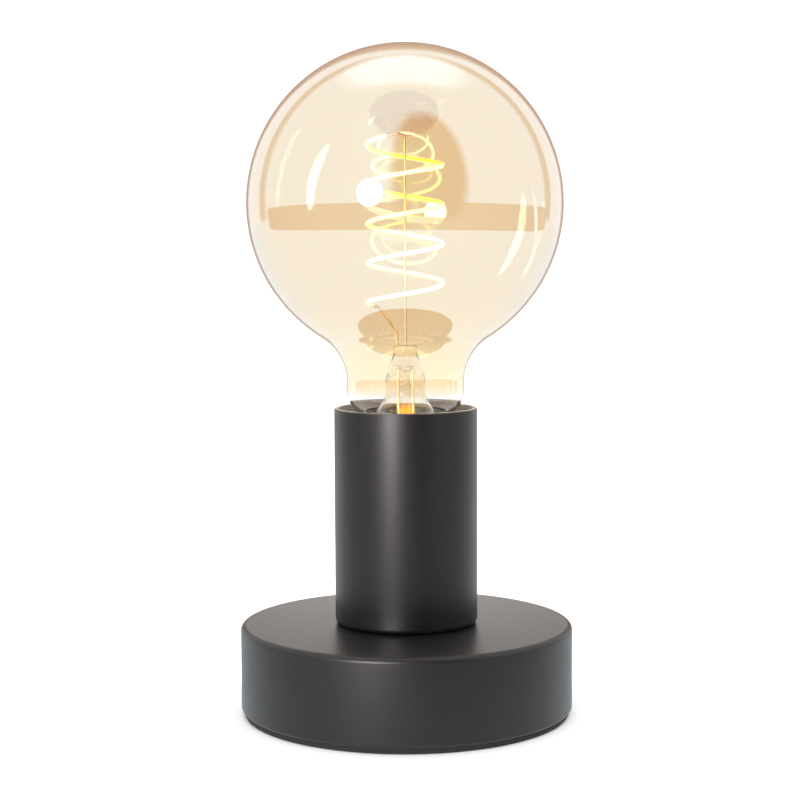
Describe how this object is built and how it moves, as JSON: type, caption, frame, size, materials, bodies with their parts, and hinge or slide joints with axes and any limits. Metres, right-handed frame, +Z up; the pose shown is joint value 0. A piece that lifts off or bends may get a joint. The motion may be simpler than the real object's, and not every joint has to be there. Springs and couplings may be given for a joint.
{
  "type": "bare bulb table lamp",
  "caption": "Table lamp with a round weighted base, a tube-shaped socket cup and a bare spiral-filament globe bulb that unscrews.",
  "frame": {"origin": "centre of the foot pad's underside, on the table and on the lamp's axis", "axes": "+Z up along the lamp's axis, +Y towards the back, where the cable gland is, +X to the right"},
  "size_m": [0.101, 0.103, 0.2022],
  "materials": {
    "black_paint": "matte powder coat",
    "pad_rubber": "matte",
    "zinc_steel": "zinc plated, satin",
    "weight_iron": "as cast",
    "black_plastic": "moulded, satin",
    "white_plastic": "moulded",
    "brass": "satin",
    "porcelain": "glazed",
    "fibre_board": "pressed fibre",
    "brown_insulation": "extruded",
    "blue_insulation": "extruded",
    "green_insulation": "extruded, green and yellow",
    "amber_glass": "clear with an amber coating that fades out at the neck",
    "clear_glass": "clear",
    "filament_glow": "lit, warm white",
    "nickel_wire": "drawn wire",
    "board_laminate": "laminate",
    "component_black": "moulded",
    "cap_metal": "nickel plated, satin",
    "cap_vitrite": "fired black glass",
    "solder": "soldered"
  },
  "bodies": {
    "lamp": {"base_plate": "zinc_steel", "base_plate_screws": "zinc_steel", "base_shell": "black_paint", "base_weight": "weight_iron", "cable_gland": "black_plastic", "contact_spring": "zinc_steel", "earth_lead": "green_insulation", "earth_ring": "brass", "earth_screw": "zinc_steel", "foot_pad": "pad_rubber", "gland_nut": "black_plastic", "holder_cap": "black_plastic", "holder_insert": "porcelain", "holder_set_screw": "zinc_steel", "holder_sleeve": "black_plastic", "holder_terminal_screws": "zinc_steel", "insulating_washer": "fibre_board", "live_lead": "brown_insulation", "live_terminal": "brass", "lower_nut": "zinc_steel", "lower_washer": "zinc_steel", "neutral_lead": "blue_insulation", "neutral_terminal": "brass", "screw_shell": "brass", "socket_cup": "black_paint", "terminal_block": "white_plastic", "terminal_block_screws": "zinc_steel", "terminal_inserts": "brass", "terminal_screws": "zinc_steel", "threaded_nipple": "zinc_steel", "upper_nut": "zinc_steel", "upper_washer": "zinc_steel"},
    "bulb_tip": {"cap_contact": "solder"},
    "bulb": {"bulb_glass": "amber_glass", "bulb_stem": "clear_glass", "exhaust_tube": "clear_glass", "led_filament": "filament_glow", "filament_tabs": "nickel_wire", "filament_post": "nickel_wire", "filament_lead": "nickel_wire", "lead_in_wires": "nickel_wire", "driver_board": "board_laminate", "driver_components": "component_black", "cap_shell": "cap_metal", "cap_insulator": "cap_vitrite"},
    "contact_plunger": {"centre_contact": "brass"}
  },
  "joints": [
    {"name": "bulb_lift", "type": "slide", "parent": "lamp", "child": "bulb_tip", "axis": [0, 0, 1], "range_m": [0, 0.01815]},
    {"name": "bulb_turn", "type": "hinge", "parent": "bulb_tip", "child": "bulb", "pos_m": [0, 0, 0.0641], "axis": [0, 0, 1], "range_deg": [0, 1800]},
    {"name": "centre_contact_press", "type": "slide", "parent": "lamp", "child": "contact_plunger", "axis": [0, 0, 1], "range_m": [-0.0015, 0], "stiffness_N_per_m": 1500, "springref_m": 0.001, "deforming": ["contact_spring"]}
  ],
  "couplings": [
    {"joint": "bulb_lift", "follows": "bulb_turn", "m_per_rad": 0.00057757}
  ]
}
